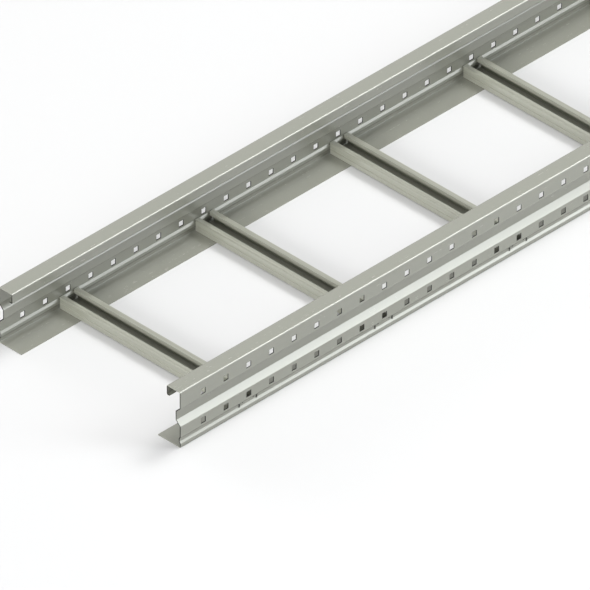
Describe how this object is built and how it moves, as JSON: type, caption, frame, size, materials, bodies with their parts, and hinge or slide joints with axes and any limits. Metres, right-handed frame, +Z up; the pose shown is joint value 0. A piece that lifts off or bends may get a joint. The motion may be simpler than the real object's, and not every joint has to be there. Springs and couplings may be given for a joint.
{
  "type": "cable ladder section",
  "caption": "Straight cable ladder length: two perforated roll-formed side rails joined by lipped channel rungs, open between.",
  "frame": {"origin": "middle of the ladder on the plane that its bottom flanges lie on", "axes": "+X along the rails, +Y across the ladder towards the left rail, +Z up"},
  "size_m": [3, 0.403, 0.106],
  "materials": {
    "rail_steel": "satin galvanised sheet",
    "rung_steel": "satin galvanised strip, faint lines along the rung"
  },
  "bodies": {
    "root": {"side_rail_left": "rail_steel", "side_rail_right": "rail_steel", "rung_01": "rung_steel", "rung_02": "rung_steel", "rung_03": "rung_steel", "rung_04": "rung_steel", "rung_05": "rung_steel", "rung_06": "rung_steel", "rung_07": "rung_steel", "rung_08": "rung_steel", "rung_09": "rung_steel", "rung_10": "rung_steel"}
  },
  "joints": []
}
